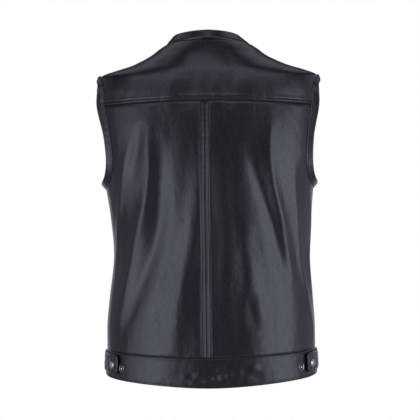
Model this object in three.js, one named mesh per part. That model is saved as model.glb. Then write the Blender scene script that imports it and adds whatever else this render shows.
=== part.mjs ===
// Leather vest, filled out as it is worn: a lapped yoke over two back panels, two fronts closed
// by a row of snaps, a waistband in three pieces, a low stand collar, bound armholes and two
// side tabs with snaps.
// Millimetres, +Z up. The front faces -Y and the wearer's left is +X. The origin is the middle
// of the neck, level with the collar seam at the back.
import * as THREE from "three";

// Leather and seams
const LEATHER = 2;
const BAND_LEATHER = 3;
const COLLAR_LEATHER = 3;
const SEAM_GAP = 0.3;
const YOKE_RISE = 1.4;
const BAND_RISE = 0.8;
const FELL_RISE = 1.2;
const FELL_WIDTH = 14;

// Front closure: the left front laps over the right
const FRONT_LAP = 13;
const LAP_RISE = LEATHER + 0.5;
const LAP_EASE = 30;
const SNAP_ROWS = 6;
const FRONT_SNAP_TOP = -104;
const FRONT_SNAP_BOTTOM = -535;

// Collar, binding, tabs and snaps
const COLLAR_HEIGHT = 19;
const COLLAR_LEAN = 5;
const COLLAR_SIDE_LEAN = { left: 10, right: 18 };
const COLLAR_END = 175;
const BINDING_GAP = 0.65;
const BINDING_WIDTH = 13.5;
const BINDING_THICK = 5.4;
const BINDING_FLARE = { back: 62, front: 20 };
const TAB_TOP = -608;
const TAB_BOTTOM = -645;
const TAB_ROOT = 89;
const TAB_THICK = 2.6;
const TAB_LIFT = 2.5;
const SNAP_RADIUS = 7;
const SNAP_HEIGHT = 3.2;
const SNAP_SIDES = 20;

// The body is a stack of rings. Each row gives the ring's heights behind, beside and before the
// wearer, its half width, its depth behind and before the side line, how square it is, and how
// far it leans to the wearer's left.
const RINGS = [
  { back: -663, side: -652, front: -660, width: 210, rear: 132, fore: 130, square: 2.4, lean: 0 },
  { back: -607, side: -601, front: -604, width: 207.5, rear: 130, fore: 128, square: 2.4, lean: 0 },
  { back: -556, side: -552, front: -556, width: 207, rear: 127, fore: 127, square: 2.4, lean: 0 },
  { back: -500, side: -498, front: -500, width: 202.5, rear: 123, fore: 127, square: 2.4, lean: -1 },
  { back: -420, side: -417, front: -421, width: 195.6, rear: 119, fore: 129, square: 2.4, lean: -3 },
  { back: -345, side: -340, front: -348, width: 200.4, rear: 122, fore: 133, square: 2.45, lean: -2 },
  { back: -293, side: -283, front: -297, width: 207, rear: 125, fore: 134, square: 2.5, lean: 0 },
  { back: -240, side: -232, front: -250, width: 214, rear: 126.5, fore: 133, square: 2.6, lean: 0 },
  { back: -180, side: -178, front: -200, width: 217.5, rear: 124, fore: 126, square: 2.6, lean: 1 },
  { back: -122, side: -128, front: -150, width: 223, rear: 118, fore: 114, square: 2.55, lean: 2 },
  { back: -108, side: -95, front: -141, width: 223, rear: 116, fore: 111, square: 2.52, lean: 1.5 },
  { back: -92, side: -73, front: -132, width: 219, rear: 113.5, fore: 108, square: 2.5, lean: 0.5 },
  { back: -78, side: -63, front: -124, width: 214, rear: 111, fore: 104.5, square: 2.45, lean: -1 },
  { back: -62, side: -55, front: -115, width: 192, rear: 107.5, fore: 100.5, square: 2.4, lean: -2.5 },
  { back: -46, side: -44, front: -106, width: 157, rear: 102, fore: 95.5, square: 2.3, lean: -2 },
  { back: -28, side: -26, front: -96, width: 120, rear: 94.5, fore: 88.5, square: 2.2, lean: 0 },
  { back: -13, side: -10.5, front: -86.5, width: 99, rear: 86.5, fore: 81, square: 2.15, lean: 0 },
  { back: 0, side: -2, front: -78, width: 86, rear: 78, fore: 74, square: 2.1, lean: 0 },
];
const HEM = 0;
const BAND_SEAM = 1;
const UNDERARM = 6;
const YOKE_SEAM = 9;
const NECK = RINGS.length - 1;

// Armhole seam on the wearer's left, from the underarm up the back, over the shoulder and down
// the front. Angles are in degrees from the centre back, 90 at the side.
const ARMHOLE = [
  { angle: 90, height: -286 },
  { angle: 80, height: -283.5 },
  { angle: 71.5, height: -268 },
  { angle: 67, height: -236 },
  { angle: 67.5, height: -188 },
  { angle: 71, height: -126 },
  { angle: 72, height: -95 },
  { angle: 75.5, height: -77 },
  { angle: 87, height: -65 },
  { angle: 100, height: -64 },
  { angle: 107, height: -92 },
  { angle: 111, height: -140 },
  { angle: 113, height: -200 },
  { angle: 110, height: -250 },
  { angle: 101, height: -275 },
];
const YOKE_CORNER = 5;
const SHOULDER_CORNER = 9;
const SIDE_SEAM = 90;
const SHOULDER_SEAM = 100;

// Main folds in the worn leather: a ridge rises, a trough has a minus depth. Each runs from its
// foot to its head through four angles at even heights, and fades out at both ends.
const FOLDS = [
  { foot: -560, head: -120, path: [66, 60, 45.5, 47], depth: 5, width: 12 },
  { foot: -600, head: -190, path: [66, 53, 40, 37], depth: -5.5, width: 16 },
  { foot: -610, head: -190, path: [37, 32, 19, 8], depth: 4.5, width: 20 },
  { foot: -450, head: -190, path: [78, 71, 62, 56], depth: 3, width: 7 },
  { foot: -280, head: -160, path: [55, 53, 51, 49], depth: -2.5, width: 9 },
  { foot: -470, head: -120, path: [-60, -53, -44.5, -48], depth: 5.5, width: 11 },
  { foot: -470, head: -200, path: [-56, -50, -40, -30], depth: -5, width: 13 },
  { foot: -540, head: -330, path: [-36, -32, -29, -31], depth: 3, width: 16 },
  { foot: -640, head: -400, path: [-42, -42, -41, -40], depth: 3.5, width: 26 },
  { foot: -590, head: -230, path: [-78, -70, -64, -59], depth: 3.5, width: 8 },
  { foot: -540, head: -270, path: [-80, -79, -81, -72], depth: 2, width: 6 },
  { foot: -560, head: -480, path: [-34, -33, -32, -33], depth: -2.5, width: 10 },
  { foot: -600, head: -150, path: [-14, -13, -12, -12], depth: -3, width: 20 },
  { foot: -140, head: -25, path: [33, 32, 33, 37], depth: 1.6, width: 14 },
  { foot: -140, head: -25, path: [16, 16, 17, 18], depth: -1.6, width: 13 },
  { foot: -140, head: -25, path: [-8, -8, -9, -10], depth: 1.4, width: 12 },
  { foot: -140, head: -25, path: [-20, -20, -22, -24], depth: -1.4, width: 10 },
  { foot: -140, head: -25, path: [-36, -36, -38, -42], depth: 1.6, width: 16 },
  { foot: -590, head: -210, path: [130, 136, 142, 150], depth: 4.5, width: 18 },
  { foot: -560, head: -250, path: [108, 113, 119, 124], depth: -4, width: 14 },
  { foot: -480, head: -180, path: [158, 156, 151, 144], depth: 3.5, width: 14 },
  { foot: -580, head: -230, path: [-127, -135, -142, -148], depth: 4.5, width: 18 },
  { foot: -570, head: -260, path: [-106, -112, -119, -125], depth: -4, width: 14 },
  { foot: -520, head: -190, path: [-160, -155, -152, -143], depth: 3.5, width: 13 },
];

const degrees = Math.PI / 180;
const mix = (from, to, share) => from + (to - from) * share;
const clamp = (value, low, high) => Math.min(Math.max(value, low), high);
const smooth = (share) => {
  const s = clamp(share, 0, 1);
  return s * s * (3 - 2 * s);
};

// A list of values between its places, on a Catmull-Rom curve
function curved(values, place) {
  const last = values.length - 1;
  const row = clamp(Math.floor(place), 0, last - 1);
  const share = place - row;
  const [a, b, c, d] = [row - 1, row, row + 1, row + 2].map((k) => values[clamp(k, 0, last)]);
  const bend = -a + 3 * b - 3 * c + d;
  return 0.5 * (2 * b + (c - a) * share + (2 * a - 5 * b + 4 * c - d) * share ** 2 + bend * share ** 3);
}

const ringColumns = Object.fromEntries(Object.keys(RINGS[0]).map((k) => [k, RINGS.map((ring) => ring[k])]));
const ringValue = (column, level) => curved(ringColumns[column], level);

// A point of the smooth body, by angle from the centre back and ring level
function bodyPoint(angle, level) {
  const v = clamp(level, 0, NECK);
  const s = Math.sin(angle * degrees);
  const c = Math.cos(angle * degrees);
  const [width, rear, fore, square] = ["width", "rear", "fore", "square"].map((k) => ringValue(k, v));
  const [back, side, front, lean] = ["back", "side", "front", "lean"].map((k) => ringValue(k, v));
  const depth = c > 0 ? rear : fore;
  const radius = (Math.abs(s / width) ** square + Math.abs(c / depth) ** square) ** (-1 / square);
  const height = side + ((c > 0 ? back : front) - side) * c * c;
  return new THREE.Vector3(radius * s + lean, radius * c, height);
}

// The ring level at which the body has a given height, by halving
function levelAt(angle, height) {
  let [low, high] = [0, NECK];
  for (let step = 0; step < 30; step++) {
    const middle = (low + high) / 2;
    if (bodyPoint(angle, middle).z < height) low = middle;
    else high = middle;
  }
  return (low + high) / 2;
}

function bodyNormal(angle, level) {
  const [turn, climb] = [0.2, 0.02];
  const low = Math.max(level - climb, 0);
  const high = Math.min(level + climb, NECK);
  const around = bodyPoint(angle + turn, level).sub(bodyPoint(angle - turn, level));
  const up = bodyPoint(angle, high).sub(bodyPoint(angle, low));
  return up.cross(around).normalize();
}

// How far the folds lift the leather at one place
function foldRise(angle, point) {
  const perDegree = Math.hypot(point.x, point.y) * degrees;
  let rise = 0;
  for (const fold of FOLDS) {
    const s = (point.z - fold.foot) / (fold.head - fold.foot);
    if (s <= 0 || s >= 1) continue;
    const path = curved(fold.path, s * (fold.path.length - 1));
    const away = ((angle - path) * perDegree) / fold.width;
    rise += fold.depth * Math.sin(Math.PI * s) ** 0.8 * Math.exp(-away * away);
  }
  return rise;
}

// A point of the leather, raised over the body by its folds and by lift
function skin(angle, level, lift) {
  const point = bodyPoint(angle, level);
  return point.addScaledVector(bodyNormal(angle, level), foldRise(angle, point) + lift);
}

// Two faces for a quad, split along its shorter diagonal, so that facing quads split alike
function quadFaces(points, a, b, c, d) {
  const across = points[a].distanceTo(points[c]) <= points[b].distanceTo(points[d]);
  return across ? [a, b, c, a, c, d] : [b, c, d, b, d, a];
}

// Makes a closed wall from two grids of points, one above the other, joined round their rim
function wall(outer, inner, around = false) {
  const rows = outer.length;
  const columns = outer[0].length;
  const points = [...outer.flat(), ...inner.flat()];
  const half = rows * columns;
  const at = (i, j) => (i % rows) * columns + j;
  const faces = [];
  const quad = (...corners) => faces.push(...quadFaces(points, ...corners));
  for (let i = 0; i < rows - (around ? 0 : 1); i++) {
    for (let j = 0; j < columns - 1; j++) {
      quad(at(i, j), at(i + 1, j), at(i + 1, j + 1), at(i, j + 1));
      quad(half + at(i, j), half + at(i, j + 1), half + at(i + 1, j + 1), half + at(i + 1, j));
    }
    quad(at(i + 1, 0), at(i, 0), half + at(i, 0), half + at(i + 1, 0));
    const last = columns - 1;
    quad(at(i, last), at(i + 1, last), half + at(i + 1, last), half + at(i, last));
  }
  if (!around) {
    for (let j = 0; j < columns - 1; j++) {
      quad(at(0, j), at(0, j + 1), half + at(0, j + 1), half + at(0, j));
      quad(at(rows - 1, j + 1), at(rows - 1, j), half + at(rows - 1, j), half + at(rows - 1, j + 1));
    }
  }
  return solid(points, faces);
}

// A geometry from points and faces, turned the right way out by its volume
function solid(points, faces) {
  let volume = 0;
  for (let k = 0; k < faces.length; k += 3) {
    const [a, b, c] = [0, 1, 2].map((n) => points[faces[k + n]]);
    volume += a.dot(new THREE.Vector3().crossVectors(b, c));
  }
  const geometry = new THREE.BufferGeometry();
  geometry.setAttribute("position", new THREE.Float32BufferAttribute(points.flatMap((p) => [...p]), 3));
  geometry.setIndex(volume > 0 ? faces : faces.toReversed());
  geometry.computeVertexNormals();
  return geometry;
}

// The wall between two edges. Both edges list angle and level row by row, and each row is cut
// into columns. over and under give the lift of the outer and the inner face.
function panel(name, inside, outside, columns, over, under) {
  const shares = Array.from({ length: columns + 1 }, (_, k) => k / columns);
  const grid = (lift) => inside.map((start, row) => {
    const end = outside[row];
    return shares.map((s) => {
      const angle = mix(start.angle, end.angle, s);
      const level = mix(start.level, end.level, s);
      return skin(angle, level, lift(angle, level));
    });
  });
  const outer = grid(over);
  add(name, wall(outer, grid(under)));
  return outer;
}

// Even steps along one stretch of an edge, without its last point
function stretch(from, to, steps) {
  const shares = Array.from({ length: steps }, (_, k) => k / steps);
  return shares.map((s) => ({ angle: mix(from.angle, to.angle, s), level: mix(from.level, to.level, s) }));
}

// Places along the armhole seam between two rows of its table
const AROUND_SCALE = 3.5;
const armCurve = new THREE.CatmullRomCurve3(
  ARMHOLE.map(({ angle, height }) => new THREE.Vector3(angle * AROUND_SCALE, height, 0)),
  true,
  "centripetal",
);
function armholeStretch(from, to, steps) {
  return Array.from({ length: steps }, (_, k) => {
    const point = armCurve.getPoint((mix(from, to, k / steps) / ARMHOLE.length) % 1);
    const angle = point.x / AROUND_SCALE;
    return { angle, level: levelAt(angle, point.y) };
  });
}

const BACK_STEPS = 12;
const YOKE_STEPS = 12;
const FRONT_STEPS = 13;
const SIDE_STEPS = 13;
const SHOULDER_STEPS = 7;
const armBack = armholeStretch(0, YOKE_CORNER, BACK_STEPS);
const armYoke = armholeStretch(YOKE_CORNER, SHOULDER_CORNER, YOKE_STEPS);
const armFront = armholeStretch(SHOULDER_CORNER, ARMHOLE.length, FRONT_STEPS);
const underarm = armBack[0];
const yokeCorner = armYoke[0];
const shoulderCorner = armFront[0];

// Half of a seam gap, as a turn at the centre and at the side, and as a part of a ring
const HALF_GAP = SEAM_GAP / 2;
const gapAngle = (angle, level) => HALF_GAP / (bodyPoint(angle, level).setZ(0).length() * degrees);
const CENTRE_GAP = gapAngle(0, UNDERARM);
const SIDE_GAP = gapAngle(SIDE_SEAM, UNDERARM);
const RING_STEP = 50;
const LEVEL_GAP = HALF_GAP / RING_STEP;
const SHOULDER_TURN = 0.2;

// The same edge on the wearer's other side
const mirrored = (edge, side) => edge.map(({ angle, level }) => ({ angle: angle * side, level }));

const leather = () => new THREE.MeshStandardMaterial({ color: 0x16171c, roughness: 0.42, metalness: 0 });
const metal = () => new THREE.MeshStandardMaterial({ color: 0xc4c6c8, roughness: 0.22, metalness: 1 });
const vest = new THREE.Group();
vest.name = "leather_vest";

function add(name, geometry, material = leather()) {
  const mesh = new THREE.Mesh(geometry, material);
  mesh.name = name;
  vest.add(mesh);
  return mesh;
}

// Back panels: the left one laps over the right at the centre seam
const BACK_COLUMNS = 15;
function backPanel(name, side) {
  const low = BAND_SEAM + LEVEL_GAP;
  const high = YOKE_SEAM - LEVEL_GAP;
  const sideLine = stretch({ angle: SIDE_SEAM - SIDE_GAP, level: low }, underarm, SIDE_STEPS);
  const outside = [...sideLine, ...armBack, { angle: yokeCorner.angle, level: yokeCorner.level }];
  outside[outside.length - 1].level -= LEVEL_GAP;
  outside[SIDE_STEPS].angle -= SIDE_GAP;
  const foot = { angle: CENTRE_GAP, level: low };
  const centre = stretch(foot, { angle: CENTRE_GAP, level: high }, outside.length - 1);
  centre.push({ angle: CENTRE_GAP, level: high });
  const felled = (angle, level) => {
    const away = Math.abs(bodyPoint(angle, level).x);
    return side > 0 ? FELL_RISE * (1 - smooth((away - FELL_WIDTH / 2) / FELL_WIDTH)) : 0;
  };
  panel(name, mirrored(centre, side), mirrored(outside, side), BACK_COLUMNS, felled, () => -LEATHER);
}
backPanel("back_panel_left", 1);
backPanel("back_panel_right", -1);

// Yoke: from armhole to armhole over both shoulders, its lower edge standing over the panels
const YOKE_COLUMNS = 26;
const yokeEdge = [
  ...armYoke,
  ...stretch(
    { angle: SHOULDER_SEAM, level: shoulderCorner.level },
    { angle: SHOULDER_SEAM, level: NECK },
    SHOULDER_STEPS,
  ),
  { angle: SHOULDER_SEAM, level: NECK },
];
yokeEdge[0] = { angle: yokeCorner.angle, level: yokeCorner.level + LEVEL_GAP };
function yoke() {
  const steps = yokeEdge.length - 1;
  const [outer, inner] = [[], []];
  yokeEdge.forEach((edge, row) => {
    const centre = mix(YOKE_SEAM + LEVEL_GAP, NECK, row / steps);
    const shares = Array.from({ length: YOKE_COLUMNS + 1 }, (_, k) => (2 * k) / YOKE_COLUMNS - 1);
    const places = shares.map((s) => [s * edge.angle, mix(centre, edge.level, Math.abs(s))]);
    outer.push(places.map(([angle, level]) => skin(angle, level, YOKE_RISE)));
    inner.push(places.map(([angle, level]) => skin(angle, level, -LEATHER)));
  });
  add("yoke", wall(outer, inner));
}
yoke();

// Fronts: side seam, armhole and shoulder seam outside, the centre front inside
const FRONT_COLUMNS = 10;
const FRONT_UNDERARM = UNDERARM - 0.3;
const FRONT_SHOULDER = 13;
const CENTRE_FRONT = 180;
function frontPanel(name, way) {
  const low = BAND_SEAM + LEVEL_GAP;
  const sideFoot = { angle: SIDE_SEAM + SIDE_GAP, level: low };
  const sideLine = stretch(sideFoot, { angle: SIDE_SEAM, level: UNDERARM }, SIDE_STEPS);
  const armUp = armFront.slice(1).toReversed();
  const seam = SHOULDER_SEAM + SHOULDER_TURN;
  const shoulder = stretch(
    { angle: seam, level: shoulderCorner.level },
    { angle: seam, level: NECK },
    SHOULDER_STEPS,
  );
  const underarmEnd = { angle: SIDE_SEAM + SIDE_GAP, level: underarm.level };
  const outside = [...sideLine, underarmEnd, ...armUp, ...shoulder, { angle: seam, level: NECK }];
  const steps = outside.length - 1;
  const shoulderRow = steps - SHOULDER_STEPS;
  const inside = outside.map((_, row) => {
    const side = mix(low, FRONT_UNDERARM, row / SIDE_STEPS);
    const arm = mix(FRONT_UNDERARM, FRONT_SHOULDER, (row - SIDE_STEPS) / (shoulderRow - SIDE_STEPS));
    const top = mix(FRONT_SHOULDER, NECK, (row - shoulderRow) / SHOULDER_STEPS);
    const level = row < SIDE_STEPS ? side : row < shoulderRow ? arm : top;
    const depth = Math.abs(bodyPoint(CENTRE_FRONT, level).y);
    return { angle: CENTRE_FRONT + Math.atan2(FRONT_LAP, depth) / degrees, level };
  });
  const lapped = (angle, level) => {
    const away = bodyPoint(angle, level).x;
    return way > 0 ? LAP_RISE * (1 - smooth((away - FRONT_LAP - 2) / LAP_EASE)) : 0;
  };
  const under = (angle, level) => lapped(angle, level) - LEATHER;
  return panel(name, mirrored(inside, way), mirrored(outside, way), FRONT_COLUMNS, lapped, under);
}
const leftFront = frontPanel("front_panel_left", 1);
frontPanel("front_panel_right", -1);

// Waistband: a straight strip round the hem, in a back and two fronts
const BAND_ROWS = 3;
function waistband(name, from, to, columns, rise = () => BAND_RISE) {
  const high = BAND_SEAM - LEVEL_GAP;
  const [outer, inner] = [[], []];
  for (let row = 0; row <= BAND_ROWS; row++) {
    const level = mix(HEM, high, row / BAND_ROWS);
    const angles = Array.from({ length: columns + 1 }, (_, k) => mix(from, to, k / columns));
    outer.push(angles.map((angle) => skin(angle, level, rise(angle, level))));
    inner.push(angles.map((angle) => skin(angle, level, rise(angle, level) - BAND_LEATHER)));
  }
  add(name, wall(outer, inner));
  return outer;
}
const BAND_COLUMNS = 30;
const bandBack = waistband("waistband_back", SIDE_GAP - SIDE_SEAM, SIDE_SEAM - SIDE_GAP, BAND_COLUMNS);
const lapAngle = Math.atan2(FRONT_LAP, RINGS[HEM].fore) / degrees;
const bandLap = (angle, level) => {
  const away = bodyPoint(angle, level).x;
  return BAND_RISE + (BAND_LEATHER + 0.5) * (1 - smooth((away - FRONT_LAP - 2) / LAP_EASE));
};
const BAND_FRONT_COLUMNS = 14;
const bandEnd = CENTRE_FRONT + lapAngle;
const bandLeft = waistband("waistband_front_left", SIDE_SEAM + SIDE_GAP, bandEnd, BAND_FRONT_COLUMNS, bandLap);
waistband("waistband_front_right", -SIDE_SEAM - SIDE_GAP, -bandEnd, BAND_FRONT_COLUMNS - 2);

// Collar: a low stand round the neck seam, leaning in, open at the centre front
const COLLAR_ROWS = 3;
const COLLAR_COLUMNS = 36;
const COLLAR_SEAT = 0.35;
function collar() {
  const [outer, inner] = [[], []];
  const foot = YOKE_RISE / 2;
  for (let row = 0; row <= COLLAR_ROWS; row++) {
    const share = row / COLLAR_ROWS;
    const place = (lift) => (_, k) => {
      const angle = mix(-COLLAR_END, COLLAR_END, k / COLLAR_COLUMNS);
      const point = bodyPoint(angle, NECK);
      const away = new THREE.Vector3(point.x, point.y, 0).normalize();
      const sideLean = angle > 0 ? COLLAR_SIDE_LEAN.left : COLLAR_SIDE_LEAN.right;
      const lean = (COLLAR_LEAN + sideLean * Math.abs(Math.sin(angle * degrees))) * share;
      const rise = COLLAR_SEAT + foot + COLLAR_HEIGHT * share;
      return point.addScaledVector(away, lift - lean).add(new THREE.Vector3(0, 0, rise));
    };
    outer.push(Array.from({ length: COLLAR_COLUMNS + 1 }, place(0)));
    inner.push(Array.from({ length: COLLAR_COLUMNS + 1 }, place(-COLLAR_LEATHER)));
  }
  add("collar", wall(outer, inner));
}
collar();

// Armhole bindings: a rounded strip round each armhole, carried along the edge of the panels.
// Across is the way into the armhole, out the way off the body.
const BINDING_SECTION = [
  { across: 0, out: 0.42 },
  { across: 0.3, out: 0.5 },
  { across: 0.78, out: 0.46 },
  { across: 1, out: 0.12 },
  { across: 0.97, out: -0.24 },
  { across: 0.75, out: -0.5 },
  { across: 0.3, out: -0.5 },
  { across: 0, out: -0.42 },
];
// How far the strip curls off the body from its root to its rim, in degrees: most on the back
const curl = (angle) => mix(BINDING_FLARE.back, BINDING_FLARE.front, smooth((angle - 94) / 12));
// The strip's width, narrower where it turns over the shoulder
const stripWidth = (height) => BINDING_WIDTH * (1 - 0.3 * smooth((height + 90) / 24));
function binding(name, side) {
  const loop = mirrored([...armBack, ...armYoke, ...armFront], side);
  const count = loop.length;
  const spine = loop.map(({ angle, level }) => skin(angle, level, (YOKE_RISE - LEATHER) / 2));
  const sections = spine.map((point, k) => {
    const ahead = spine[(k + 1) % count].clone().sub(point).normalize();
    const along = point.clone().sub(spine[(k + count - 1) % count]).normalize().add(ahead).normalize();
    const out = bodyNormal(loop[k].angle, loop[k].level);
    const across = new THREE.Vector3().crossVectors(out, along).normalize().multiplyScalar(side);
    return BINDING_SECTION.map((corner) => {
      const turn = curl(Math.abs(loop[k].angle)) * degrees * corner.across;
      const [reach, rise] = [corner.across * stripWidth(point.z), corner.out * BINDING_THICK];
      return point.clone()
        .addScaledVector(across, BINDING_GAP + reach * Math.cos(turn / 2) - rise * Math.sin(turn))
        .addScaledVector(out, reach * Math.sin(turn / 2) + rise * Math.cos(turn));
    });
  });
  const corners = BINDING_SECTION.length;
  const points = sections.flat();
  const faces = [];
  for (let k = 0; k < count; k++) {
    for (let j = 0; j < corners; j++) {
      const [a, b] = [k * corners + j, k * corners + ((j + 1) % corners)];
      const next = ((k + 1) % count) * corners;
      const [c, d] = [next + ((j + 1) % corners), next + j];
      faces.push(...quadFaces(points, a, b, c, d));
    }
  }
  add(name, solid(points, faces));
}
binding("armhole_binding_left", 1);
binding("armhole_binding_right", -1);

// Snap cap: a domed metal cap with a rolled rim, turned about its own axis
function snapGeometry(radius) {
  const profile = [
    [0, 0],
    [radius * 0.93, 0],
    [radius, SNAP_HEIGHT * 0.25],
    [radius * 0.94, SNAP_HEIGHT * 0.55],
    [radius * 0.62, SNAP_HEIGHT * 0.9],
    [0, SNAP_HEIGHT],
  ].map(([across, up]) => new THREE.Vector2(across, up));
  return new THREE.LatheGeometry(profile, SNAP_SIDES).rotateX(Math.PI / 2);
}

// Seats a cap on one cell of a panel's outer grid, a share of the way up it, just clear of the
// plane through its highest corner
function snap(name, grid, row, column, radius = SNAP_RADIUS, climb = 0.5) {
  const corners = [grid[row][column], grid[row][column + 1], grid[row + 1][column + 1], grid[row + 1][column]];
  const foot = corners[0].clone().add(corners[1]).divideScalar(2);
  const head = corners[2].clone().add(corners[3]).divideScalar(2);
  const centre = foot.lerp(head, climb);
  const one = corners[2].clone().sub(corners[0]);
  const other = corners[3].clone().sub(corners[1]);
  const out = one.cross(other).normalize();
  if (out.dot(new THREE.Vector3(centre.x, centre.y, 0)) < 0) out.negate();
  const height = Math.max(...corners.map((p) => p.clone().sub(centre).dot(out)));
  const cap = add(name, snapGeometry(radius), metal());
  cap.quaternion.setFromUnitVectors(new THREE.Vector3(0, 0, 1), out);
  cap.position.copy(centre.addScaledVector(out, height + SEAM_GAP));
}

// Side tabs: a strap from each side seam lying on the back waistband, its end lifted a little
const TAB_SHARES = [0, 0.25, 0.5, 0.7, 0.9, 1];
const TAB_SNAP_CELL = 3;
const TAB_REST = 0.75;
const TAB_LIFT_START = 0.45;
function tab(name, side, endAngle) {
  const [outer, inner] = [[], []];
  const rows = [TAB_BOTTOM, TAB_TOP];
  for (const height of rows) {
    const places = TAB_SHARES.map((share) => {
      const angle = mix(TAB_ROOT, endAngle, share);
      return { angle: side * angle, level: levelAt(angle, height), share };
    });
    const bend = (share) => smooth((share - TAB_LIFT_START) / (1 - TAB_LIFT_START));
    const lift = (share) => BAND_RISE + TAB_REST + TAB_LIFT * bend(share);
    outer.push(places.map(({ angle, level, share }) => skin(angle, level, lift(share) + TAB_THICK)));
    inner.push(places.map(({ angle, level, share }) => skin(angle, level, lift(share))));
  }
  add(name, wall(outer, inner));
  snap(`${name}_snap`, outer, 0, TAB_SNAP_CELL);
}
const TAB_END = { left: 64.8, right: 66.5 };
tab("tab_left", 1, TAB_END.left);
tab("tab_right", -1, TAB_END.right);

// Spare snaps on the back waistband, one beside each tab's end
const SPARE_SNAP_ROW = 1;
const SPARE_SNAP_COLUMN = 4;
const SPARE_SNAP_RADIUS = 6.3;
const spareFromLeft = BAND_COLUMNS - 1 - SPARE_SNAP_COLUMN;
snap("band_snap_left", bandBack, SPARE_SNAP_ROW, spareFromLeft, SPARE_SNAP_RADIUS);
snap("band_snap_right", bandBack, SPARE_SNAP_ROW, SPARE_SNAP_COLUMN, SPARE_SNAP_RADIUS);

// Front snaps: an even row down the middle of the lap, and one on the waistband
for (let k = 0; k < SNAP_ROWS - 1; k++) {
  const height = mix(FRONT_SNAP_TOP, FRONT_SNAP_BOTTOM, k / (SNAP_ROWS - 2));
  const above = leftFront.findIndex((row) => row[0].z > height);
  const [low, high] = [leftFront[above - 1][0].z, leftFront[above][0].z];
  snap(`front_snap_${k + 1}`, leftFront, above - 1, 0, SNAP_RADIUS, (height - low) / (high - low));
}
snap(`front_snap_${SNAP_ROWS}`, bandLeft, 1, BAND_FRONT_COLUMNS - 1);

export default vest;
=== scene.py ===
import math

import bpy
import numpy as np
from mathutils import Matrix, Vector


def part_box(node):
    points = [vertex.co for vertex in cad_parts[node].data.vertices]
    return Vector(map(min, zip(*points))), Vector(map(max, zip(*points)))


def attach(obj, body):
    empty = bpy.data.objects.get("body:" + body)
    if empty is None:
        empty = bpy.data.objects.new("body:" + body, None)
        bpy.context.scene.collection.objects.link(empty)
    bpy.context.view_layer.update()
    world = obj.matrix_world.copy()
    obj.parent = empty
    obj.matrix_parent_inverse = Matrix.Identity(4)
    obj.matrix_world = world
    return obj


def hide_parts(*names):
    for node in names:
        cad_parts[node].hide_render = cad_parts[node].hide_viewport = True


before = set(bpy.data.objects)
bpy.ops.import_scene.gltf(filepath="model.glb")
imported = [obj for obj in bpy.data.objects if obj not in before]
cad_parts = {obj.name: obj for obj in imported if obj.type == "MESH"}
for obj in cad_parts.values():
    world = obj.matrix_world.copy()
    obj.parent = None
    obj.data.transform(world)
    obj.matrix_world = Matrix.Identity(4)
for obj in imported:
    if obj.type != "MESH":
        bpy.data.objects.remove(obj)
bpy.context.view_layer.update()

bl_info = {
    "name": "Leather Vest",
    "version": (1, 0, 0),
    "blender": (4, 5, 0),
    "location": "View3D > Sidebar > Vest",
    "description": "A worn leather vest: panels, yoke, bindings, waistband, tabs, snaps and stitching",
    "category": "Object",
}

MM = 0.001

# Thickness of the leather, in millimetres, where it is single and where it is folded double
LEATHER = 2.0
BAND_LEATHER = 3.0
COLLAR_LEATHER = 3.0

# How far each piece stands above the body, and the left front's lap over the right one
YOKE_RISE = 1.4
BAND_RISE = 0.8
FELL_RISE = 1.2
FRONT_LAP = 13.0
LAP_CLEARANCE = 0.5
LAP_RISE = LEATHER + LAP_CLEARANCE
BAND_LAP_RISE = BAND_LEATHER + LAP_CLEARANCE
LAP_EASE = 30.0

# Lengths along the body, in millimetres: the waistband's height, from one ring level to the next
# at the yoke's seam and at the neck's, and the panels' heights and width
BAND_HEIGHT = 54.0
YOKE_STEP = 27.0
NECK_STEP = 13.0
PANEL_HEIGHT = 490.0
FRONT_HEIGHT = 600.0
PANEL_WIDTH = 250.0

# The body is a stack of rings, in millimetres: the heights behind, beside and before the wearer,
# the half width, the depths behind and before the side line, the squareness, and the lean.
RING_COLUMNS = ("back", "side", "front", "width", "rear", "fore", "square", "lean")
RINGS = np.array([
    (-663, -652, -660, 210, 132, 130, 2.40, 0),
    (-607, -601, -604, 207.5, 130, 128, 2.40, 0),
    (-556, -552, -556, 207, 127, 127, 2.40, 0),
    (-500, -498, -500, 202.5, 123, 127, 2.40, -1),
    (-420, -417, -421, 195.6, 119, 129, 2.40, -3),
    (-345, -340, -348, 200.4, 122, 133, 2.45, -2),
    (-293, -283, -297, 207, 125, 134, 2.50, 0),
    (-240, -232, -250, 214, 126.5, 133, 2.60, 0),
    (-180, -178, -200, 217.5, 124, 126, 2.60, 1),
    (-122, -128, -150, 223, 118, 114, 2.55, 2),
    (-108, -95, -141, 223, 116, 111, 2.52, 1.5),
    (-92, -73, -132, 219, 113.5, 108, 2.50, 0.5),
    (-78, -63, -124, 214, 111, 104.5, 2.45, -1),
    (-62, -55, -115, 192, 107.5, 100.5, 2.40, -2.5),
    (-46, -44, -106, 157, 102, 95.5, 2.30, -2),
    (-28, -26, -96, 120, 94.5, 88.5, 2.20, 0),
    (-13, -10.5, -86.5, 99, 86.5, 81, 2.15, 0),
    (0, -2, -78, 86, 78, 74, 2.10, 0),
])
HEM, BAND_SEAM, UNDERARM, YOKE_SEAM, SHOULDER, NECK = 0, 1, 6, 9, 13, 17

# The armhole seam on the wearer's left: the angle from the centre back and the height
ARMHOLE = np.array([
    (90, -286), (80, -283.5), (71.5, -268), (67, -236), (67.5, -188), (71, -126), (72, -95),
    (75.5, -77), (87, -65), (100, -64), (107, -92), (111, -140), (113, -200), (110, -250),
    (101, -275),
])
YOKE_CORNER, SHOULDER_CORNER, ARM_END = 5, 9, 15
SIDE_SEAM, SHOULDER_SEAM, CENTRE_FRONT = 90.0, 100.0, 180.0
AROUND_SCALE = 3.5

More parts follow.
